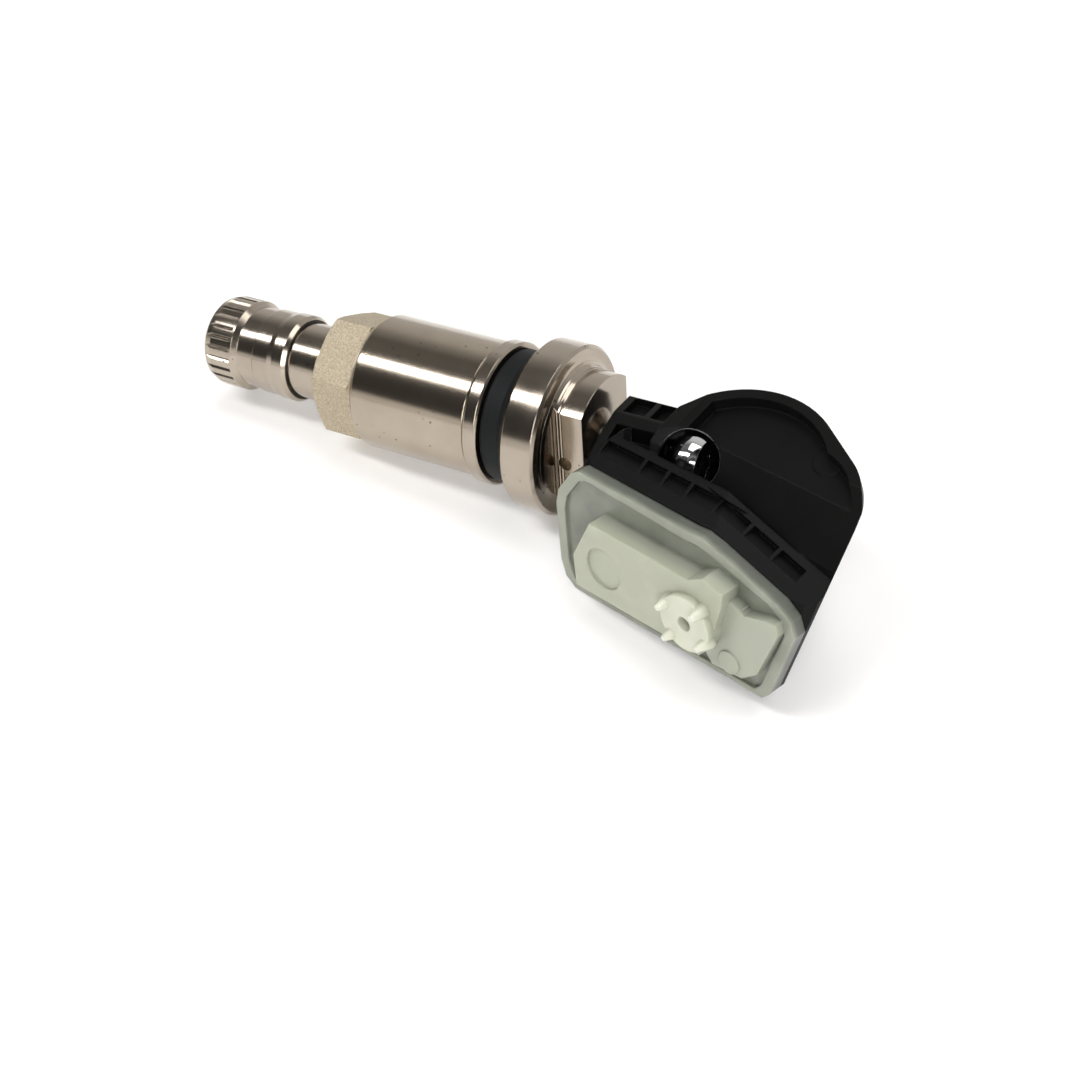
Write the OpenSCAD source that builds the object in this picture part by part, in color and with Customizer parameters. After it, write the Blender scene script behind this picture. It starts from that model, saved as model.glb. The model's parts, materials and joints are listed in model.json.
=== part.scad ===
// Clamp-in tyre pressure sensor: metal valve with collar nut and cap,
// ball-headed screw and a swinging plastic sensor housing.
// Frame: X along the valve axis from cap to housing, Z up, origin on the
// axis in the plane where the rubber grommet meets the rim washer. Millimetres.

/* [Valve] */
// radius of the stem's round flange inside the rim
disc_r = 8.8; // [7.5:0.1:10]
// thickness of that flange
disc_t = 4.2; // [3:0.1:5]
// thickness of the rubber grommet
grommet_t = 3.2; // [2.4:0.1:4]
// radius of the rubber grommet
grommet_r = 6.9; // [6.2:0.1:7.3]
// radius of the rim washer
washer_r = 7.47; // [7:0.01:8.5]
// thickness of the rim washer
washer_t = 1.6; // [1:0.1:2.5]
// outer radius of the stem's nut thread
stem_thread_r = 5; // [4.6:0.05:5.3]
// radius of the smooth stem behind the cap
stem_r = 4.1; // [3.9:0.05:4.3]
// outer radius of the valve thread under the cap
valve_thread_r = 3.85; // [3.7:0.01:3.9]
// radius of the boss that carries the screw
boss_r = 6.6; // [5.6:0.1:7]
// length of that boss
boss_t = 3.35; // [2.5:0.05:3.5]
// distance of each wrench flat from the axis
boss_flat = 4.5; // [4:0.1:5]

/* [Nut and cap] */
// outer radius of the nut's round sleeve
sleeve_r = 7.1; // [6.9:0.05:7.3]
// length of the round sleeve
sleeve_len = 14.5; // [12:0.1:16]
// width across the flats of the hexagon
hex_af = 12; // [11.6:0.1:12.4]
// length of the hexagon
hex_len = 4.8; // [4:0.1:6]
// radius over the cap's knurl
cap_r = 4.95; // [4.7:0.05:5.3]
// length of the cap
cap_len = 11.7; // [11:0.1:12.5]
// number of knurl flutes round the cap
flutes = 26; // [20:1:32]

/* [Screw] */
// radius of the ball head
ball_r = 2.75; // [2.5:0.05:3]
// distance from the origin to the centre of the ball
ball_x = 20.4; // [20:0.1:21]
// radius of the screw's neck
neck_r = 1.5; // [1.3:0.05:1.6]
// radius of the screw's thread
screw_thread_r = 1.75; // [1.6:0.05:1.9]
// radius of the screw's flared collar
flare_r = 3; // [2:0.1:3.2]

/* [Housing] */
// angle between the valve axis and the cover's plane
yaw = 16; // [14:1:18]
// distance from the ball to the plane where cover and housing meet
split_y = 10.9; // [10.9:0.1:11.3]
// thickness of the cover's flange
flange_t = 1.5; // [1.2:0.1:1.8]
// height of the cover's raised field above its flange
plateau_h = 2; // [1.6:0.1:2.2]
// length of the round pressure tower beyond the raised field
tower_h = 0.8; // [0.5:0.1:1.2]
// diameter of the coin cell
cell_d = 12.5; // [12:0.1:12.5]
// thickness of the coin cell
cell_t = 2.5; // [2:0.1:2.6]
// thickness of the circuit board
board_t = 0.8; // [0.6:0.1:1]

/* [Fits] */
// radial gap of a running fit
run_gap = 0.05; // [0.03:0.01:0.1]
// gap round a piece that lies in a pocket
seat_gap = 0.1; // [0.05:0.01:0.15]

/* [Hidden] */
$fn = 72;
eps = 0.01;
disc_back = grommet_t + disc_t;
boss_end = disc_back + boss_t;
nut_end = -washer_t - sleeve_len - hex_len;
hex_start = -washer_t - sleeve_len;
shoulder_x = nut_end - 5;
stem_tip = shoulder_x - 11.2;
core_x = stem_tip + 0.4;
hex_r = hex_af / 2 / cos(30);
front_y = -split_y - flange_t;
face_y = front_y - plateau_h;
tower_y = face_y - tower_h;
board_y = -8;
cell_y = -7;
cell_pos = [11, -3.2];
seat_r = ball_r + run_gap;
swing = 10;
port = [12.9, -4.1];

nose_x = 12.5;
// direction of the scoop through which the ball is reached by eye
scoop_az = -47;
scoop_el = 34;
// back face of the ridge bar
ridge_back = -7.6;
// front face of the ridge's lip, and how far the lip and the ribs stand out of the band
lip_y = -8.3;
band_depth = 0.75;
// rise of the band's two planes from the flange, fall of the right one, and where they meet
left_rise = 31.9;
right_rise = 25.3;
right_drop = 18.7;
band_bend = 14;
// the ribs of the band, where the flat strip along the flange ends, and their thickness
band_ribs = [-3.1, 2, 4.9, 7.8, 11.3, 14.6, 17.8, 20.9];
rib_y = -9.6;
rib_t = 0.4;

// outline of the cover's flange in the housing's x and z
flange_pts = [[-6.3, -1.2], [-5.9, 0.5], [-4, 3.2], [-3, 3.8], [11, 3.6], [12.4, 3.7], [14, 3.3],
    [21.4, 0.8], [22.8, -0.3], [23.3, -1.8], [20.6, -9.7], [19.8, -10.5], [-4.2, -10.5],
    [-5.5, -9.6], [-6.1, -7.8]];

// Helpers

// turns a shape built along Z onto the valve axis and moves it to x
module along(x) translate([x, 0, 0]) rotate([0, 90, 0]) children();

// a ring on the valve axis between x0 and x1
module ring(x0, x1, ro, ri) along(x0) difference() {
    cylinder(r = ro, h = x1 - x0);
    if (ri > 0) translate([0, 0, -eps]) cylinder(r = ri, h = x1 - x0 + 2 * eps);
}

// annular thread ridges between x0 and x1
module ridges(x0, x1, ro, ri, pitch) along(x0) rotate_extrude()
    polygon(concat([[0, 0], [ri, 0]],
        [for (i = [0 : floor((x1 - x0) / pitch) - 1]) each
            [[ri, (i + 0.05) * pitch], [ro, (i + 0.4) * pitch], [ro, (i + 0.6) * pitch],
             [ri, (i + 0.95) * pitch]]],
        [[ri, x1 - x0], [0, x1 - x0]]));

// the housing's own frame: origin in the ball, cover towards -Y
module in_housing() translate([ball_x, 0, 0]) rotate([0, 0, -yaw]) children();

// stands an x-z outline up between y0 and y1
module upright(y0, y1) translate([0, y1, 0]) rotate([90, 0, 0]) linear_extrude(y1 - y0) children();

module inset(d) {
    c = [8.5, -3.6];
    polygon([for (p = flange_pts) c + (p - c) * (1 - d / norm(p - c) * 1.15)]);
}

// Valve

module valve_stem() color([0.71, 0.66, 0.58]) difference() {
    union() {
        // flange with a bevelled front edge
        along(grommet_t) rotate_extrude() polygon([[0, 0], [disc_r - 0.65, 0], [disc_r, 0.65],
            [disc_r, disc_t - 0.3], [disc_r - 0.3, disc_t], [0, disc_t]]);
        ring(disc_back - eps, boss_end, boss_r, 0);
        // fillet between flange and boss
        along(disc_back - eps) rotate_extrude() difference() {
            square([boss_r + 1.2, 1.2]);
            translate([boss_r + 1.2, 1.2]) circle(r = 1.2);
        }
        ring(-2.4, grommet_t + eps, stem_thread_r, 0);
        ridges(hex_start + 1, -2.4 + eps, stem_thread_r, stem_thread_r - 0.55, 1);
        ring(shoulder_x, hex_start + 1 + eps, stem_r, 0);
        ridges(stem_tip, shoulder_x + eps, valve_thread_r, valve_thread_r - 0.45, 0.794);
    }
    // wrench flats of the boss
    for (s = [-1, 1]) translate([disc_back + 0.3, s * (boss_flat + 2.5) - 2.5, -8])
        cube([boss_t + 1, 5, 16]);
    // core chamber, air way, screw thread and lock hole
    along(stem_tip - 1) cylinder(r = 2.65, h = 13.4);
    along(stem_tip) cylinder(r = 1.2, h = 60 + grommet_t);
    along(grommet_t + 0.8) cylinder(r = screw_thread_r + run_gap, h = 12);
    translate([disc_back + 1.2, -boss_flat + 1.4, -0.9]) rotate([90, 0, 0])
        cylinder(r = 0.72, h = 5, $fn = 32);
}

module collar_nut() color([0.72, 0.67, 0.57]) difference() {
    union() {
        along(hex_start) rotate_extrude() polygon([[0, 0], [sleeve_r - 0.5, 0],
            [sleeve_r - 0.5, 0.25], [sleeve_r, 0.75], [sleeve_r, sleeve_len - 0.25],
            [sleeve_r - 0.25, sleeve_len], [0, sleeve_len]]);
        intersection() {
            along(nut_end) rotate([0, 0, 9]) cylinder(r = hex_r, h = hex_len + eps, $fn = 6);
            along(nut_end) rotate_extrude() polygon([[0, 0], [hex_r - 0.75, 0], [hex_r + 0.1, 0.5],
                [hex_r + 0.1, hex_len + 1], [0, hex_len + 1]]);
        }
    }
    along(nut_end - 1) cylinder(r = stem_r + 0.12, h = hex_len + 3);
    along(hex_start + 0.6) cylinder(r = stem_thread_r + run_gap, h = sleeve_len + 1);
    along(-washer_t - 1.2) cylinder(r = stem_thread_r + 0.8, h = 2);
}

module rim_washer() color([0.74, 0.69, 0.6]) along(-washer_t) difference() {
    rotate_extrude() polygon([[0, 0], [washer_r - 0.2, 0], [washer_r, 0.2],
        [washer_r, washer_t - 0.2], [washer_r - 0.2, washer_t], [0, washer_t]]);
    translate([0, 0, -1]) cylinder(r = stem_thread_r + 0.8, h = washer_t + 2);
}

module rim_grommet() color([0.1, 0.11, 0.12]) difference() {
    along(-washer_t + 0.3) rotate_extrude() polygon([[0, 0], [stem_thread_r + 0.55, 0],
        [stem_thread_r + 0.65, 0.2], [stem_thread_r + 0.65, washer_t - 0.3],
        [grommet_r - 0.35, washer_t - 0.3], [grommet_r, washer_t], [grommet_r, washer_t + 1.9],
        [grommet_r + 0.3, washer_t + 2.3], [grommet_r + 0.3, washer_t + grommet_t - 0.3],
        [0, washer_t + grommet_t - 0.3]]);
    along(-6) cylinder(r = stem_thread_r + run_gap, h = 20);
}

module valve_cap() color([0.73, 0.68, 0.6]) {
    x0 = shoulder_x - cap_len;
    difference() {
        along(x0) rotate_extrude() polygon([[0, 0], [cap_r - 1.9, 0], [cap_r - 0.9, 0.3],
            [cap_r - 0.25, 0.95], [cap_r, 1.8], [cap_r, 4.6], [cap_r - 0.5, 5.1], [cap_r - 0.5, 7.2],
            [cap_r - 0.35, 7.35], [cap_r - 0.35, 9.3], [cap_r - 0.22, 10], [cap_r - 0.22, cap_len - 0.4],
            [cap_r - 0.5, cap_len], [0, cap_len]]);
        // thread bore, pin room and the seat of the seal
        along(shoulder_x - 11.3) cylinder(r = valve_thread_r + run_gap, h = 14);
        along(shoulder_x - 0.85) cylinder(r = valve_thread_r + 0.5, h = 3);
        // knurl flutes
        for (i = [0 : flutes - 1]) along(x0 - 1) rotate([0, 0, i * 360 / flutes])
            translate([cap_r + 0.1, 0, 0]) rotate([0, 0, 45])
                translate([-0.24, -0.24, 0]) cube([0.48, 0.48, 5.4]);
    }
}

module cap_seal() color([0.06, 0.06, 0.06])
    ring(shoulder_x - 0.85 + eps, shoulder_x - 0.02, valve_thread_r + 0.48, valve_thread_r + 0.04);

// Valve core

module core_barrel() color([0.8, 0.68, 0.36]) difference() {
    union() {
        ridges(core_x, core_x + 2.8, 2.6, 2.25, 0.7);
        ring(core_x + 2.75, core_x + 5, 1.75, 0);
        ring(core_x + 4.6, core_x + 6.6, 2.05, 0);
    }
    along(core_x - 1) cylinder(r = 1.05, h = 12);
    // the two side windows of the head
    for (s = [-1, 1]) translate([core_x - 0.1, s * 3 - 1.5, -3]) cube([1.1, 3, 6]);
}

module core_gasket() color([0.75, 0.16, 0.12]) along(core_x + 2.85) difference() {
    rotate_extrude() polygon([[1.2, 0], [2.2, 0], [2.58, 0.5], [2.4, 1.6], [1.2, 1.7]]);
    translate([0, 0, -1]) cylinder(r = 1.77, h = 5);
}

module core_pin() color([0.82, 0.72, 0.42]) {
    ring(core_x - 0.3, core_x + 8.6, 0.45, 0);
    ring(core_x - 0.3, core_x + 0.2, 0.75, 0);
    ring(core_x + 7.32, core_x + 7.6, 1.45, 0);
}

module core_cup() color([0.12, 0.12, 0.13]) ring(core_x + 6.62, core_x + 7.31, 1.9, 0.46);

module core_spring() color([0.75, 0.75, 0.76])
    // coils drawn as rings joined by a rod of wire
    union() {
        for (i = [0 : 6]) along(core_x + 7.8 + i * 0.66) rotate_extrude($fn = 48)
            translate([1.6, 0]) circle(r = 0.18, $fn = 16);
        translate([core_x + 7.8, 1.6, 0]) rotate([0, 90, 0]) cylinder(r = 0.14, h = 3.96, $fn = 16);
    }

// Screw

module mounting_screw() color([0.8, 0.8, 0.8]) difference() {
    union() {
        ridges(grommet_t + 1.2, boss_end + eps, screw_thread_r, screw_thread_r - 0.3, 0.6);
        ring(boss_end, ball_x, neck_r, 0);
        // collar that flares towards the housing
        along(boss_end + 0.15) cylinder(r1 = neck_r, r2 = flare_r, h = 0.8);
        intersection() {
            translate([ball_x, 0, 0]) rotate([0, 90, 0]) sphere(r = ball_r);
            translate([ball_x - 5, -5, -5]) cube([5 + 1.25, 10, 10]);
        }
    }
    // six-lobed driver socket and the air way through the screw
    along(ball_x - 0.7) {
        cylinder(r = 1.05, h = 5, $fn = 48);
        for (i = [0 : 5]) rotate([0, 0, i * 60]) translate([1.05, 0, 0]) cylinder(r = 0.32, h = 5, $fn = 24);
    }
    along(0) cylinder(r = 0.6, h = 30, $fn = 32);
}

// Housing

// the moulded body: front frame, ridge, lobe and foot joined by plane walls
module body_shape() hull() {
    upright(-split_y, -split_y + 0.6) polygon(flange_pts);
    upright(-8.6, ridge_back - 0.1)
        polygon([[-3.2, 5.2], [-2.5, 6.1], [16, 6.1], [22.6, 3], [22.6, 0], [-3.2, 0]]);
    in_lobe(-1.2, 0) lobe_outline(0);
    upright(3.4, 4.2) polygon([[-1.5, -9], [8, -9.4], [10.4, -7.5], [10.6, -3], [-1.5, -3]]);
}

// planes of the band's left and right part, rising from the flange's top edge to the ridge
module band_left() translate([0, -split_y, 3.75]) rotate([left_rise, 0, 0]) children();
module band_right() translate([band_bend, -split_y, 3.3]) rotate([0, right_drop, 0])
    rotate([right_rise, 0, 0]) children();

// all above the band, and one pocket between two ribs with its floor falling towards the lip
module above_band() translate([-40, -1, 0]) cube([80, 12, 12]);
module band_pocket(x0, x1, rise) translate([x0, 0, 0]) rotate([90, 0, 90]) linear_extrude(x1 - x0)
    polygon([[(split_y + rib_y) / cos(rise), 0], [(split_y + lip_y) / cos(rise), -band_depth],
        [(split_y + lip_y) / cos(rise), 3], [(split_y + rib_y) / cos(rise), 3]]);

// the lobe's own plane leans 20 degrees to the front
module in_lobe(z0, z1) translate([0, -5.6, 8.4]) rotate([20, 0, 0])
    translate([0, 0, z0]) linear_extrude(z1 - z0) children();

// outline of three round ends, straight along the front
module lobe_outline(d) intersection() {
    union() {
        translate([7.2, 2.4]) circle(r = 3.8 - d);
        translate([11.2, -2.8]) circle(r = 10.5 - d);
        translate([17, -2.4]) circle(r = 7.5 - d);
    }
    translate([3.4 + d, -d * 4]) square([30, 30]);
}

// the nose round the screw: half an octagon on the valve axis
module nose_shape() translate([nose_x, 0, 0]) rotate([90, 0, 90]) linear_extrude(6.4)
    polygon([[-6.6, -5], [-6.6, 2.2], [-4, 3.5], [-1.2, 4.4], [2, 4.4], [3.9, 2.8], [4.4, 1], [4.4, -3],
        [2.6, -5]]);

// room above the ball: a slot behind the ridge and a round scoop beside it
module ball_scoop() {
    translate([-1.7, 0, 0]) rotate([90, 0, 90]) linear_extrude(3.4)
        polygon([[ridge_back, 20], [ridge_back, 4.4], [-4.6, 0.6], [-3.1, -2.2], [3.1, -2.2], [3.1, 20]]);
    intersection() {
        translate([-0.5, 0, 0]) rotate([0, 90 - scoop_el, scoop_az]) cylinder(r = ball_r + 0.15, h = 20);
        translate([-20, ridge_back, -5]) cube(50);
    }
}

// steep field between the dish and the back of the ridge
module sunk_field() intersection() {
    translate([5.2, ridge_back, 2.83]) rotate([57, 0, 0]) cube([30, 9, 6]);
    translate([-20, ridge_back, -5]) cube(50);
}

// room for the electronics behind the cover
module hollow() {
    upright(-split_y - 1, board_y + 0.2) inset(1.5);
    upright(board_y, cell_y + cell_t + seat_gap) translate(cell_pos) circle(d = cell_d + 2 * seat_gap);
    translate([cell_pos[0] + cell_d / 2 - 1, board_y, cell_pos[1] - 1.1])
        cube([1.3, cell_y + 1.9 - board_y, 2.2]);
}

module sensor_housing() color([0.08, 0.08, 0.08]) {
    housing_body();
    // plain round boss on the dish floor
    in_housing() in_lobe(-1.7, -1.15) translate([17.7, 4]) circle(r = 1.5);
}

module housing_body() difference() {
    union() {
        in_housing() body_shape();
        nose_shape();
        // wall behind the ball
        translate([nose_x + 6, 3.15, -3.2]) cube([6.5, 1.2, 6.6]);
    }
    in_housing() {
        hollow();
        // dish of the lobe, open to the front, with a raised far rim
        in_lobe(-1.3, 5) lobe_outline(1);
        // notch between the lobe's two round ends
        in_lobe(-3, 5) translate([19.4, 8.2]) circle(r = 3);
        sunk_field();
        ball_scoop();
        // the band and its pockets, in front of the ridge
        intersection() {
            union() {
                band_left() above_band();
                band_right() above_band();
            }
            translate([-40, -40, -5]) cube([80, 40 + ridge_back + 0.05, 50]);
        }
        for (i = [0 : len(band_ribs) - 2]) {
            x0 = band_ribs[i] + rib_t / 2;
            x1 = band_ribs[i + 1] - rib_t / 2;
            band_left() band_pocket(x0, x1, left_rise);
            band_right() band_pocket((x0 - band_bend) / cos(right_drop), (x1 - band_bend) / cos(right_drop),
                right_rise);
        }
    }
    // open room round the ball and the driver's way out of it
    along(ball_x - 0.6) cylinder(r = 3.1, h = 30);
    // spherical seat of the ball head and the slot in which the neck swings
    along(ball_x) sphere(r = seat_r);
    translate([ball_x - 1, 0, -neck_r - 0.2]) linear_extrude(2 * neck_r + 0.4)
        polygon([[0, -0.2], [0, 0.2], [-9, 9 * tan(swing) + 0.2], [-9, -9 * tan(swing) - 0.2]]);
    for (s = [-1, 0, 1]) translate([ball_x, 0, 0]) rotate([0, -90, s * swing])
        translate([0, 0, 1]) cylinder(r = neck_r + 0.2, h = 9);
    // windows in the top of the nose
    for (x = [nose_x + 0.8, nose_x + 3.7]) translate([x, -0.8, 3.5]) cube([2.3, 2.8, 3]);
    // pocket in the nose's front slope
    translate([nose_x + 1, -5.8, 2.3]) cube([4.2, 3.4, 4]);
}

// Cover

module plateau_outline() polygon([[0.3, 0.5], [12.6, 0.3], [14.4, 1.3], [16.8, 0.7], [16.6, -0.9],
    [15, -6.4], [14, -7.6], [-1.9, -7.7], [-2.1, -4.2]]);

module block_outline() polygon([[15, 0.2], [18.3, -1.4], [20.9, -0.6], [22, -0.5], [22.2, -1.6],
    [19.9, -7.2], [18.2, -8.6], [14.6, -8.9], [13.6, -7.6]]);

module sensor_cover() color([0.74, 0.78, 0.66]) in_housing() difference() {
    union() {
        // flange with a raised border
        upright(front_y + 0.35, -split_y) polygon(flange_pts);
        difference() {
            upright(front_y, -split_y) polygon(flange_pts);
            upright(front_y - 1, front_y + 2) inset(0.95);
        }
        upright(face_y, -split_y) plateau_outline();
        upright(front_y - 0.9, -split_y) block_outline();
        translate([16.7, front_y - 1.1, -7.5]) rotate([-90, 0, 0]) cylinder(r = 1.2, h = 2, $fn = 48);
        // round tower with four short prongs
        translate([port[0], tower_y, port[1]]) rotate([-90, 0, 0]) cylinder(r = 2.9, h = 3);
        translate([port[0], face_y, port[1]]) rotate([90, -13, 0]) for (i = [-1, 1], j = [-1, 1])
            translate([i * 2.1, j * 1.6, 0]) cylinder(r1 = 0.8, r2 = 0.3, h = 1.7, $fn = 32);
        // two ribs on the lower block's shoulder
        for (x = [16.9, 17.7]) translate([x, front_y - 0.6, -3.2]) cube([0.3, 0.8, 2.2]);
    }
    // gate mark, hollow back of the raised field and the port
    translate([1.9, face_y - 0.5, -4]) rotate([-90, 0, 0]) cylinder(r = 2.2, h = 0.8);
    upright(face_y + 1.1, -split_y + 1) translate([1.3, -1]) scale([0.84, 0.8]) plateau_outline();
    translate([port[0], tower_y - 2, port[1]]) rotate([-90, 0, 0]) cylinder(r = 0.75, h = 8, $fn = 48);
}

// Electronics

module circuit_board() color([0.1, 0.32, 0.2]) in_housing() difference() {
    upright(board_y - board_t, board_y) inset(1.75);
    for (p = [[-3.6, -8], [19, -4]]) translate([p[0], board_y - 3, p[1]])
        rotate([-90, 0, 0]) cylinder(r = 0.5, h = 6, $fn = 32);
}

module battery_cell() color([0.75, 0.75, 0.74]) in_housing()
    translate([cell_pos[0], cell_y, cell_pos[1]]) rotate([-90, 0, 0]) rotate_extrude()
        polygon([[0, 0], [cell_d / 2 - 1.4, 0], [cell_d / 2 - 1.2, 0.35], [cell_d / 2 - 0.3, 0.35],
            [cell_d / 2, 0.65], [cell_d / 2, cell_t - 0.3], [cell_d / 2 - 0.3, cell_t], [0, cell_t]]);

module battery_tab_front() color([0.82, 0.8, 0.72]) in_housing() {
    translate([cell_pos[0] - cell_d / 2 + 0.75, cell_y - 0.2, cell_pos[1] - 1.2])
        cube([cell_d / 2 - 0.25, 0.2, 2.4]);
    translate([cell_pos[0] - cell_d / 2 + 0.75, board_y, cell_pos[1] - 1.2])
        cube([0.2, cell_y - board_y, 2.4]);
}

module battery_tab_rear() color([0.82, 0.8, 0.72]) in_housing()
    translate([cell_pos[0] + cell_d / 2, board_y, cell_pos[1] - 1]) cube([0.2, cell_y + 1.8 - board_y, 2]);

module pressure_chip() color([0.16, 0.16, 0.17]) in_housing() difference() {
    translate([port[0] - 3, board_y - board_t - 2, port[1] - 2.6]) cube([6, 2, 5.2]);
    translate([port[0], board_y - board_t - 3, port[1]]) rotate([-90, 0, 0])
        cylinder(r = 0.6, h = 1.8, $fn = 32);
}

module port_seal() color([0.35, 0.36, 0.37]) in_housing() difference() {
    translate([port[0], face_y + 1.1, port[1]]) rotate([-90, 0, 0])
        cylinder(r = 1.5, h = board_y - board_t - 2 - face_y - 1.1);
    translate([port[0], face_y, port[1]]) rotate([-90, 0, 0]) cylinder(r = 0.8, h = 8, $fn = 48);
}

module port_filter() color([0.92, 0.92, 0.9]) in_housing()
    translate([port[0], tower_y + 1.2, port[1]]) rotate([-90, 0, 0]) cylinder(r = 0.75, h = 0.3, $fn = 48);

module wake_coil() color([0.25, 0.16, 0.1]) in_housing() translate([0.4, board_y - board_t, -6]) {
    translate([0, -2.4, 0]) cube([6, 2.4, 0.6]);
    translate([0, -2.4, 2.2]) cube([6, 2.4, 0.6]);
    translate([0.3, -2.1, 0.3]) cube([5.4, 1.8, 2.2]);
}

module crystal() color([0.78, 0.78, 0.76]) in_housing()
    translate([3.4, board_y - board_t - 0.9, -2.6]) cube([3.2, 0.9, 1.5]);

module antenna() color([0.74, 0.5, 0.3]) in_housing() {
    for (x = [-2.4, 8.9]) translate([x, board_y - board_t - 1.6, 0.5]) cube([0.5, 1.6, 0.9]);
    translate([-2.4, board_y - board_t - 2, 0.5]) cube([11.8, 0.4, 0.9]);
}

module board_capacitors() color([0.62, 0.5, 0.38]) in_housing()
    for (x = [0 : 2]) translate([-3.4 + x * 1.7, board_y - board_t - 0.6, -3]) cube([0.8, 0.6, 1.4]);

valve_stem();
collar_nut();
rim_washer();
rim_grommet();
valve_cap();
cap_seal();
core_barrel();
core_gasket();
core_pin();
core_cup();
core_spring();
mounting_screw();
sensor_housing();
sensor_cover();
circuit_board();
battery_cell();
battery_tab_front();
battery_tab_rear();
pressure_chip();
port_seal();
port_filter();
wake_coil();
crystal();
antenna();
board_capacitors();
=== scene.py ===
import bpy
import json
import math
import numpy as np
from mathutils import Matrix, Vector

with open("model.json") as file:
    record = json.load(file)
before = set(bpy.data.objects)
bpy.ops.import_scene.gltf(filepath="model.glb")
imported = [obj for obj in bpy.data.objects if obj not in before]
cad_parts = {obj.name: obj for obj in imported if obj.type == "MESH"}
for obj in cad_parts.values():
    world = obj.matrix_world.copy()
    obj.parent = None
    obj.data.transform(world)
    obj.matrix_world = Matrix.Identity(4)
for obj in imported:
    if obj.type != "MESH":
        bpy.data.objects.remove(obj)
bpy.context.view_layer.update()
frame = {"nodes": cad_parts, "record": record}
nodes = frame["nodes"]
mm = 0.001
scene = bpy.context.scene
print("frame loaded")


def linear(hexText):
    # sRGB hex text to linear red, green, blue and alpha 1
    parts = [int(hexText[i:i + 2], 16) / 255 for i in (1, 3, 5)]
    return [c / 12.92 if c <= 0.04045 else ((c + 0.055) / 1.055) ** 2.4 for c in parts] + [1.0]


def setInputs(tree, node, inputs):
    # each input gets a plain value or is linked to another node's output
    for key, value in inputs.items():
        if isinstance(value, bpy.types.NodeSocket):
            tree.links.new(value, node.inputs[key])
        else:
            node.inputs[key].default_value = value


def addNode(tree, kind, inputs, **settings):
    # one shader node with its settings and inputs, by name or number: in Mix 0 is the share of colour 7 over
    # colour 6, in MapRange 1 and 2 are where the value starts and ends, 3 and 4 what it starts and ends as
    node = tree.nodes.new("ShaderNode" + kind)
    for key, value in settings.items():
        setattr(node, key, value)
    setInputs(tree, node, inputs)
    return node


def newMaterial(name):
    material = bpy.data.materials.new(name)
    material.use_nodes = True
    tree = material.node_tree
    place = addNode(tree, "TexCoord", {}).outputs["Object"]
    return material, tree, tree.nodes["Principled BSDF"], place


def pitField(tree, place, cloud, spec):
    # 1 in a round pit and 0 outside: near one of scattered points, and where the clouds are dense
    near = addNode(tree, "TexVoronoi", {"Vector": place, "Scale": 1 / (spec["pitMm"] * mm)})
    rim, floor = spec["pitSize"]
    dot = addNode(tree, "MapRange", {0: near.outputs["Distance"], 1: rim, 2: floor}).outputs[0]
    thin, dense = spec["pitCloud"]
    zone = addNode(tree, "MapRange", {0: cloud, 1: thin, 2: dense}).outputs[0]
    return addNode(tree, "Math", {0: dot, 1: zone}, operation="MULTIPLY").outputs[0]


def skinNormal(tree, height, spec):
    # a relief of depthMm over edges that look rounded by edgeMm
    edge = addNode(tree, "Bevel", {"Radius": spec["edgeMm"] * mm}).outputs[0]
    depth = spec["depthMm"] * mm
    return addNode(tree, "Bump", {"Height": height, "Distance": depth, "Normal": edge}).outputs[0]


def fillRamp(ramp, stopList):
    # colours over a value from 0 to 1, the first and the last of them on the ramp's own two ends
    stops = ramp.color_ramp.elements
    stops[0].color = stopList[0][1]
    stops[1].color = stopList[-1][1]
    for position, colour in stopList[1:-1]:
        stops.new(position).color = colour


# electroless nickel on turned brass: a warm grey mirror, blurred a little by the tool's fine grooves, with
# clouds and small dark pits; pitSize is a pit's rim and floor as shares of pitMm, pitCloud how dense the
# cloud is there; a lathe's real grooves of about 0.05 mm are finer than a pixel and drawn twice as coarse
nickelPlate = {
    "name": "nickelPlate", "dark": "#9b9083", "light": "#b3a99b", "pit": "#4d4036",
    "roughness": 0.17, "roughSpread": 0.14, "cloudMm": 4.0, "depthMm": 0.004, "edgeMm": 0.1,
    "pitMm": 1.1, "pitSize": (0.13, 0.06), "pitCloud": (0.46, 0.56),
    "grooveMm": 0.11, "grooveDepth": 0.4,
    "toolFromX": 7.5, "toolToX": 8.5, "toolMm": 0.34, "toolDepth": 3.0,  # coarse marks at the boss's foot
}


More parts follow.
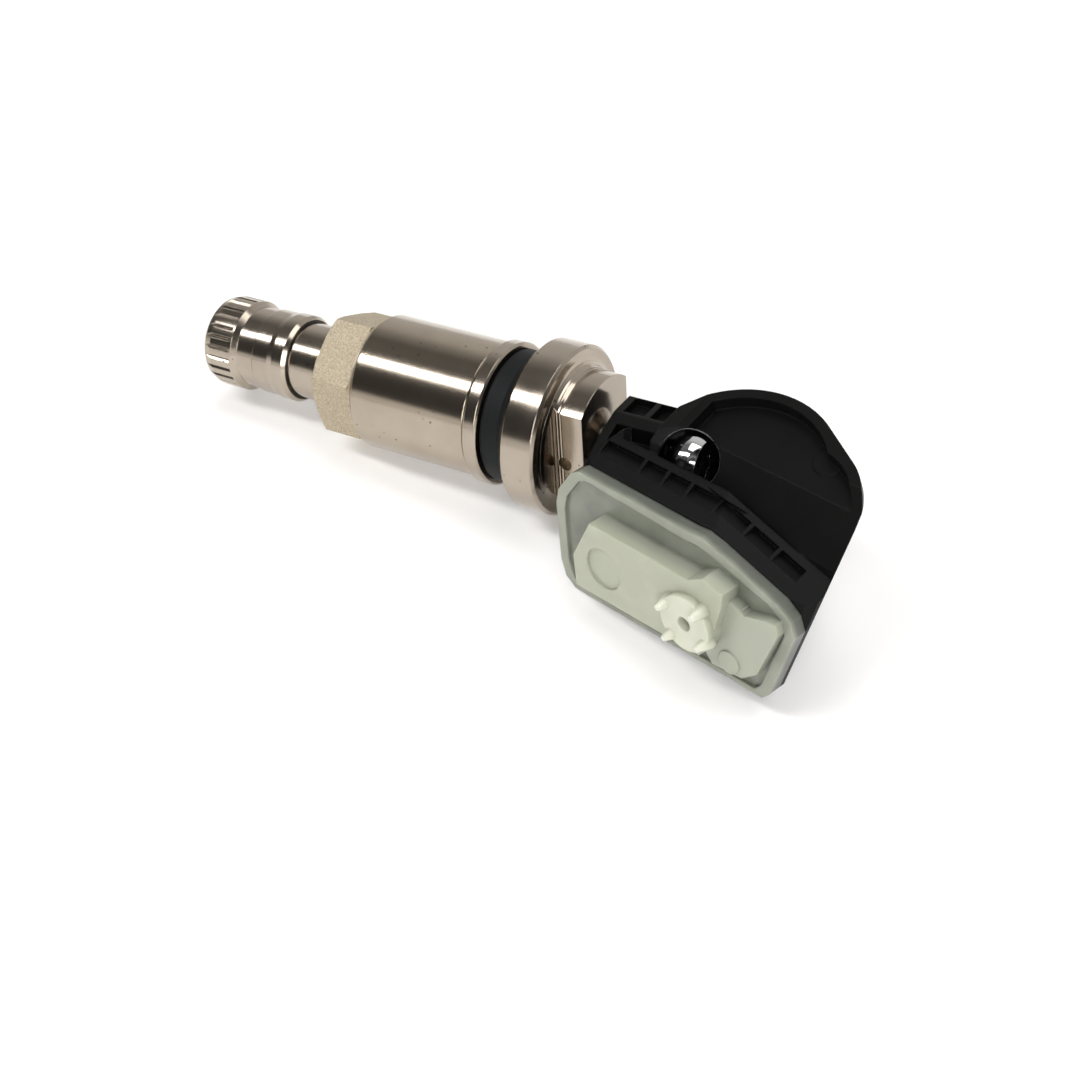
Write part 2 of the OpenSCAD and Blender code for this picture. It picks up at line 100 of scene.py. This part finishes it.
def makeNickel(spec):
    material, tree, shader, place = newMaterial(spec["name"])
    cloud = addNode(tree, "TexNoise", {"Vector": place, "Scale": 1 / (spec["cloudMm"] * mm),
                                       "Detail": 4.0}).outputs[0]
    pit = pitField(tree, place, cloud, spec)
    axis = addNode(tree, "SeparateXYZ", {0: place}).outputs["X"]
    rings = addNode(tree, "CombineXYZ", {"X": axis}).outputs[0]
    groove = addNode(tree, "TexNoise", {"Vector": rings, "Scale": 1 / (spec["grooveMm"] * mm)}).outputs[0]
    tone = addNode(tree, "Mix", {0: cloud, 6: linear(spec["dark"]), 7: linear(spec["light"])},
                   data_type="RGBA").outputs[2]
    colour = addNode(tree, "Mix", {0: pit, 6: tone, 7: linear(spec["pit"])}, data_type="RGBA").outputs[2]
    # coarse turning marks: a sine along the axis between two places
    turns = 2 * math.pi / (spec["toolMm"] * mm)
    wave = addNode(tree, "Math", {0: axis, 1: turns}, operation="MULTIPLY").outputs[0]
    wave = addNode(tree, "Math", {0: wave}, operation="SINE").outputs[0]
    after = addNode(tree, "Math", {0: axis, 1: spec["toolFromX"] * mm}, operation="GREATER_THAN").outputs[0]
    before = addNode(tree, "Math", {0: axis, 1: spec["toolToX"] * mm}, operation="LESS_THAN").outputs[0]
    zone = addNode(tree, "Math", {0: after, 1: before}, operation="MULTIPLY").outputs[0]
    zone = addNode(tree, "Math", {0: zone, 1: spec["toolDepth"]}, operation="MULTIPLY").outputs[0]
    marks = addNode(tree, "Math", {0: wave, 1: zone}, operation="MULTIPLY").outputs[0]
    height = addNode(tree, "Math", {0: groove, 1: spec["grooveDepth"], 2: marks},
                     operation="MULTIPLY_ADD").outputs[0]
    height = addNode(tree, "Math", {0: height, 1: pit}, operation="SUBTRACT").outputs[0]
    smoothest = spec["roughness"] - spec["roughSpread"] / 2
    rough = addNode(tree, "Math", {0: cloud, 1: spec["roughSpread"], 2: smoothest},
                    operation="MULTIPLY_ADD").outputs[0]
    setInputs(tree, shader, {"Base Color": colour, "Metallic": 1.0, "Roughness": rough,
                             "Normal": skinNormal(tree, height, spec)})
    return material


# the collar nut: its sleeve is the same nickel, its hexagon was blasted before plating and scatters the
# light, champagne coloured; one runs into the other from hexFromX to hexToX; grit marks of about 0.08 mm
# are drawn twice as coarse, to show: grainTone is where the grain is dark and where it is light, grainDepth
# its depth on the sleeve and what the blast adds to it
collarNut = {
    "name": "blastedNickel", "dark": "#9c9081", "light": "#b5aa9a", "pit": "#43372d",
    "hexDark": "#9f9480", "hexLight": "#c8bda7", "hexFromX": -15.7, "hexToX": -16.1,
    "roughness": 0.16, "hexRoughness": 0.68, "cloudMm": 4.5, "depthMm": 0.006, "edgeMm": 0.12,
    "pitMm": 1.1, "pitSize": (0.15, 0.05), "pitCloud": (0.44, 0.54),
    "grainMm": 0.18, "grainTone": (0.35, 0.65), "grainDepth": (0.3, 4.0),
}


def makeCollarNut(spec):
    material, tree, shader, place = newMaterial(spec["name"])
    axis = addNode(tree, "SeparateXYZ", {0: place}).outputs["X"]
    hexPart = addNode(tree, "MapRange", {0: axis, 1: spec["hexFromX"] * mm,
                                         2: spec["hexToX"] * mm}).outputs[0]
    sleevePart = addNode(tree, "Math", {0: 1.0, 1: hexPart}, operation="SUBTRACT").outputs[0]
    cloud = addNode(tree, "TexNoise", {"Vector": place, "Scale": 1 / (spec["cloudMm"] * mm),
                                       "Detail": 4.0}).outputs[0]
    grain = addNode(tree, "TexNoise", {"Vector": place, "Scale": 1 / (spec["grainMm"] * mm), "Detail": 4.0,
                                       "Roughness": 0.7}).outputs[0]
    pit = pitField(tree, place, cloud, spec)
    pit = addNode(tree, "Math", {0: pit, 1: sleevePart}, operation="MULTIPLY").outputs[0]
    sleeve = addNode(tree, "Mix", {0: cloud, 6: linear(spec["dark"]), 7: linear(spec["light"])},
                     data_type="RGBA").outputs[2]
    darkAt, lightAt = spec["grainTone"]
    speck = addNode(tree, "MapRange", {0: grain, 1: darkAt, 2: lightAt}).outputs[0]
    blasted = addNode(tree, "Mix", {0: speck, 6: linear(spec["hexDark"]), 7: linear(spec["hexLight"])},
                      data_type="RGBA").outputs[2]
    tone = addNode(tree, "Mix", {0: hexPart, 6: sleeve, 7: blasted}, data_type="RGBA").outputs[2]
    colour = addNode(tree, "Mix", {0: pit, 6: tone, 7: linear(spec["pit"])}, data_type="RGBA").outputs[2]
    onSleeve, byBlast = spec["grainDepth"]
    depth = addNode(tree, "Math", {0: hexPart, 1: byBlast, 2: onSleeve}, operation="MULTIPLY_ADD").outputs[0]
    height = addNode(tree, "Math", {0: grain, 1: depth}, operation="MULTIPLY").outputs[0]
    height = addNode(tree, "Math", {0: height, 1: pit}, operation="SUBTRACT").outputs[0]
    rough = addNode(tree, "MapRange", {0: hexPart, 3: spec["roughness"],
                                       4: spec["hexRoughness"]}).outputs[0]
    setInputs(tree, shader, {"Base Color": colour, "Metallic": 1.0, "Roughness": rough,
                             "Normal": skinNormal(tree, height, spec)})
    return material


# what a plain finish has unless it says otherwise: cloudMm is the size of its soft tone changes, grainMm and
# depthMm are its skin's texture, edgeMm is the rounding of its edges, dullShare dims the darker tone
plainSkin = {
    "cloudMm": 3.0, "grainMm": 0.3, "depthMm": 0.001, "edgeMm": 0.06,
    "dullShare": 0.8, "roughSpread": 0.12, "metal": 0.0, "specular": 0.5,
}
plainFinishes = {
    # nitrile rubber, pressed: a dull black that hardly mirrors, its grain drawn coarse enough to show
    "grommet_rubber": {"name": "nitrileRubber", "colour": "#0a0d0e", "roughness": 0.6, "grainMm": 0.2,
                       "depthMm": 0.008, "edgeMm": 0.2, "specular": 0.2},
    # silicone rubber, moulded: black with a soft sheen
    "seal_rubber": {"name": "siliconeRubber", "colour": "#101112", "roughness": 0.45},
    # brass, turned and left bare: yellow and bright
    "core_brass": {"name": "turnedBrass", "colour": "#c2a061", "roughness": 0.28, "metal": 1.0},
    # coloured fluoroplastic, turned: an even red with a waxy sheen
    "core_red": {"name": "redSeal", "colour": "#a8261c", "roughness": 0.4},
    # spring steel, drawn to wire: grey and bright
    "spring_steel": {"name": "springSteel", "colour": "#b9b9bb", "roughness": 0.25, "metal": 1.0,
                     "edgeMm": 0.02},
    # steel, polished and chromed: a clean mirror
    "screw_chrome": {"name": "polishedChrome", "colour": "#d9dadb", "roughness": 0.1, "metal": 1.0},
    # nylon with glass fibre, moulded on an eroded tool: deep black and satin, its shine broken by a fine
    # grain, whose real 0.08 mm are drawn twice as coarse, to show
    "housing_black": {"name": "glassFilledNylon", "colour": "#0a0b0a", "roughness": 0.42, "grainMm": 0.16,
                      "depthMm": 0.006, "edgeMm": 0.2, "specular": 0.1},
    # glass epoxy under printed solder mask: an even green, half glossy
    "board_green": {"name": "solderMask", "colour": "#1f5c39", "roughness": 0.35},
    # stainless steel, drawn to a can: a pale, soft mirror
    "cell_steel": {"name": "cellCan", "colour": "#b8b8b6", "roughness": 0.3, "metal": 1.0},
    # nickel strip, rolled: pale and a little yellow
    "tab_nickel": {"name": "nickelStrip", "colour": "#c9c5b6", "roughness": 0.3, "metal": 1.0,
                   "edgeMm": 0.02},
    # filled epoxy, moulded round the chip: matt dark grey
    "chip_black": {"name": "mouldedPackage", "colour": "#262728", "roughness": 0.5},
    # silicone, moulded: an even, matt grey
    "silicone_grey": {"name": "greySilicone", "colour": "#55585a", "roughness": 0.5},
    # plastic powder, sintered: white and chalky
    "filter_white": {"name": "sinteredFilter", "colour": "#d8d8d2", "roughness": 0.7},
    # ferrite, pressed and fired: a dull dark brown
    "ferrite": {"name": "ferrite", "colour": "#3b2a20", "roughness": 0.6},
    # steel, drawn to a can and nickelled: pale and bright
    "crystal_can": {"name": "crystalCan", "colour": "#bdbdb9", "roughness": 0.22, "metal": 1.0},
    # copper strip, stamped and thinly plated: reddish, a soft mirror
    "copper_plated": {"name": "platedCopper", "colour": "#b97c4c", "roughness": 0.3, "metal": 1.0},
    # ceramic, fired: an even tan, half matt
    "ceramic_tan": {"name": "capacitorCeramic", "colour": "#94785a", "roughness": 0.5},
}


def makePlain(own):
    spec = {**plainSkin, **own}
    material, tree, shader, place = newMaterial(spec["name"])
    cloud = addNode(tree, "TexNoise", {"Vector": place, "Scale": 1 / (spec["cloudMm"] * mm),
                                       "Detail": 3.0}).outputs[0]
    grain = addNode(tree, "TexNoise", {"Vector": place, "Scale": 1 / (spec["grainMm"] * mm)}).outputs[0]
    full = linear(spec["colour"])
    dull = [spec["dullShare"] * c for c in full[:3]] + [1.0]
    colour = addNode(tree, "Mix", {0: cloud, 6: dull, 7: full}, data_type="RGBA").outputs[2]
    smoothest = spec["roughness"] - spec["roughSpread"] / 2
    rough = addNode(tree, "Math", {0: cloud, 1: spec["roughSpread"], 2: smoothest},
                    operation="MULTIPLY_ADD").outputs[0]
    setInputs(tree, shader, {"Base Color": colour, "Roughness": rough, "Metallic": spec["metal"],
                             "Specular IOR Level": spec["specular"],
                             "Normal": skinNormal(tree, grain, spec)})
    return material


# natural nylon, injection moulded: milky and dull, and the milkier the more of it there is, so that the
# flange over the dark housing looks grey and the raised field and the tower pale; the two darkest tones, low
# on the ramp where the gutter between flange and raised field lies, are painted shade for that groove; the
# tones run from the back face (0) to the prongs' tips (1), outMm further out, and the clouds shift them by
# toneShift both ways; the ball stands at ballX, the cover's outward direction is -Y turned by yaw degrees
# towards -X, and its back face lies backMm out from the ball
coverSpec = {
    "name": "milkyNylon", "roughness": 0.3, "ior": 1.5, "transmission": 0.25, "scatter": 0.4,
    "reachMm": (1.4, 1.6, 1.2), "depthMm": 0.03, "edgeMm": 0.2,
    "cloudMm": 3.2, "flowMm": 0.7, "flowDepth": 0.3,
    "ballX": 20.4, "yaw": 16, "backMm": 10.9, "outMm": 5.4, "toneShift": 0.06,
    # the first two stops are painted shade in the gutter, the rest the nylon's tones
    "tones": ((0.0, "#54574f"), (0.16, "#63665c"), (0.32, "#a3a697"), (0.5, "#aeb1a0"), (0.65, "#b0b39f"),
              (0.72, "#c4c6b3"), (0.85, "#dadbc9"), (1.0, "#e1e1d2")),
}


def makeCover(spec):
    material, tree, shader, place = newMaterial(spec["name"])
    cloud = addNode(tree, "TexNoise", {"Vector": place, "Scale": 1 / (spec["cloudMm"] * mm),
                                       "Detail": 4.0}).outputs[0]
    flow = addNode(tree, "TexNoise", {"Vector": place, "Scale": 1 / (spec["flowMm"] * mm),
                                      "Detail": 3.0}).outputs[0]
    # way out from the back face as a share of outMm: the place along the cover's outward direction
    turn = math.radians(spec["yaw"])
    reach = spec["outMm"] * mm
    outward = (-math.sin(turn) / reach, -math.cos(turn) / reach, 0)
    share = addNode(tree, "VectorMath", {0: place, 1: outward}, operation="DOT_PRODUCT").outputs["Value"]
    start = (math.sin(turn) * spec["ballX"] - spec["backMm"]) / spec["outMm"] - spec["toneShift"]
    share = addNode(tree, "Math", {0: share, 1: start}, operation="ADD").outputs[0]
    share = addNode(tree, "Math", {0: cloud, 1: 2 * spec["toneShift"], 2: share},
                    operation="MULTIPLY_ADD").outputs[0]
    # this ramp paints the gutter darker as shade, and the nylon paler outward
    ramp = addNode(tree, "ValToRGB", {0: share})
    fillRamp(ramp, [(position, linear(colour)) for position, colour in spec["tones"]])
    height = addNode(tree, "Math", {0: flow, 1: spec["flowDepth"], 2: cloud},
                     operation="MULTIPLY_ADD").outputs[0]
    setInputs(tree, shader, {
        "Base Color": ramp.outputs["Color"], "Roughness": spec["roughness"], "IOR": spec["ior"],
        "Normal": skinNormal(tree, height, spec), "Transmission Weight": spec["transmission"],
        "Subsurface Weight": spec["scatter"], "Subsurface Radius": [r * mm for r in spec["reachMm"]],
        "Subsurface Scale": 1.0})
    return material


finishes = {slot: makePlain(spec) for slot, spec in plainFinishes.items()}
finishes["nickel"] = makeNickel(nickelPlate)
finishes["nickel_grainy"] = makeCollarNut(collarNut)
finishes["cover_milky"] = makeCover(coverSpec)
slotOf = {part["node"]: part["material_slot"] for part in frame["record"]["subparts"]}
for name, obj in nodes.items():
    obj.data.materials.clear()
    obj.data.materials.append(finishes[slotOf[name]])
print("materials set")


def lowestOver(obj, fallX, fallY):
    # the least that a node's points reach over a plane through the origin that falls along x and y
    points = np.empty(3 * len(obj.data.vertices), dtype=np.float32)
    obj.data.vertices.foreach_get("co", points)
    turned = np.array(obj.matrix_world)
    points = points.reshape(-1, 3) @ turned[:3, :3].T + turned[:3, 3]
    return float((points @ np.array([fallX, fallY, 1.0])).min())


# the table is the plane that the object lies on: hexagon, valve flange and the cover's lower left corner
# touch it; it falls by fallX of the way along x and by fallY of the way along y
table = {"fallX": 0.067, "fallY": -0.114, "gapMm": 0.03, "halfMm": 900, "colour": "#f0efee",
         "roughness": 0.6, "specular": 0.2, "glow": 0.08}
# no node goes into the table: it lies a small gap under the lowest that any of them reaches
level = min(lowestOver(obj, table["fallX"], table["fallY"]) for obj in nodes.values())
level -= table["gapMm"] * mm
half = table["halfMm"] * mm
corners = [(-half, -half), (half, -half), (half, half), (-half, half)]
tableMesh = bpy.data.meshes.new("tableTop")
tableMesh.from_pydata([(x, y, level - table["fallX"] * x - table["fallY"] * y) for x, y in corners], [],
                      [(0, 1, 2, 3)])
tableTop = bpy.data.objects.new("tableTop", tableMesh)
scene.collection.objects.link(tableTop)
# uncoated paper: matt and white, with a little glow for the camera, mirrors and the translucent cover only,
# so that it stays white beyond the shadows
material, tree, shader = newMaterial("matPaper")[:3]
path = addNode(tree, "LightPath", {}).outputs
seen = addNode(tree, "Math", {0: path["Is Camera Ray"], 1: path["Is Glossy Ray"]},
               operation="MAXIMUM").outputs[0]
seen = addNode(tree, "Math", {0: seen, 1: path["Is Transmission Ray"]}, operation="MAXIMUM").outputs[0]
glow = addNode(tree, "Math", {0: seen, 1: table["glow"]}, operation="MULTIPLY").outputs[0]
setInputs(tree, shader, {"Base Color": linear(table["colour"]), "Roughness": table["roughness"],
                         "Specular IOR Level": table["specular"], "Emission Color": linear("#ffffff"),
                         "Emission Strength": glow})
tableMesh.materials.append(material)
print("table at", round(level / mm, 2), "mm")


def axesMatrix(across, upward, backward, place):
    # columns: the three axes and the place
    return Matrix.Translation(place) @ Matrix([[across[i], upward[i], backward[i], 0] for i in range(3)]
                                              + [[0, 0, 0, 1]])


# lamps: direction from the origin, distance and size in metres; the first draws the streak along the
# sleeve, the second is the soft light from above, the third lights the cover's face
lamps = {
    "softboxFront": {"toward": (-0.36, -0.44, 0.82), "distance": 0.75, "size": (0.6, 0.13), "watts": 3.0},
    "softboxTop": {"toward": (0.25, 0.15, 0.95), "distance": 0.95, "size": (1.0, 0.6), "watts": 5.5},
    "softboxCover": {"toward": (0.45, -0.85, 0.35), "distance": 0.8, "size": (0.45, 0.45), "watts": 5.0},
}
for name, spec in lamps.items():
    data = bpy.data.lights.new(name, "AREA")
    data.shape = "RECTANGLE"
    data.size, data.size_y = spec["size"]
    data.energy = spec["watts"]
    lamp = bpy.data.objects.new(name, data)
    scene.collection.objects.link(lamp)
    # its first side lies along the valve (X) and its face looks back to the origin
    away = Vector(spec["toward"]).normalized()
    upward = away.cross(Vector((1, 0, 0))).normalized()
    lamp.matrix_world = axesMatrix(upward.cross(away), upward, away, away * spec["distance"])

# a studio room: dark on the camera's side (-Y), a white paper sweep at the back (+Y), as strengths over the
# direction's y; beyond the table's edge the paper goes on, white all round up to the lower of paperTop's two
# heights (the direction's z) and gone at the upper
room = {"tint": "#fffdfb", "paperTop": (0.05, 0.12),
        "strengths": ((-1.0, 0.06), (-0.3, 0.075), (0.0, 0.185), (0.22, 0.165), (0.44, 0.4), (0.63, 0.72),
                      (1.0, 0.8))}
world = bpy.data.worlds.new("room")
scene.world = world
world.use_nodes = True
sky = world.node_tree
toward = addNode(sky, "SeparateXYZ", {0: addNode(sky, "TexCoord", {}).outputs["Generated"]}).outputs
sideways = addNode(sky, "MapRange", {0: toward["Y"], 1: -1.0, 2: 1.0}).outputs[0]
sweep = addNode(sky, "ValToRGB", {0: sideways})
fillRamp(sweep, [((y + 1) / 2, [strength] * 3 + [1.0]) for y, strength in room["strengths"]])
whiteTo, goneAt = room["paperTop"]
paper = addNode(sky, "MapRange", {0: toward["Z"], 1: goneAt, 2: whiteTo}).outputs[0]
strength = addNode(sky, "Math", {0: sweep.outputs[0], 1: paper}, operation="MAXIMUM").outputs[0]
setInputs(sky, sky.nodes["Background"], {"Color": linear(room["tint"]), "Strength": strength})

# camera fitted to the photograph's round edges: its three directions, then its place, lens, sensor width
# and nearest distance in millimetres
camera = {"across": (0.8584, 0.5097, -0.0579), "upward": (-0.2601, 0.5297, 0.8073),
          "backward": (0.4422, -0.6779, 0.5872),
          "place": (86.9, -130.0, 97.4), "lens": 60, "sensor": 36, "nearest": 5}
cameraData = bpy.data.cameras.new("camera")
cameraData.sensor_width = camera["sensor"]
cameraData.lens = camera["lens"]
cameraData.clip_start = camera["nearest"] * mm
cameraObject = bpy.data.objects.new("camera", cameraData)
scene.collection.objects.link(cameraObject)
cameraObject.matrix_world = axesMatrix(camera["across"], camera["upward"], camera["backward"],
                                       Vector(camera["place"]) * mm)
scene.camera = cameraObject
scene.view_settings.view_transform = "Standard"
print("light and camera set")
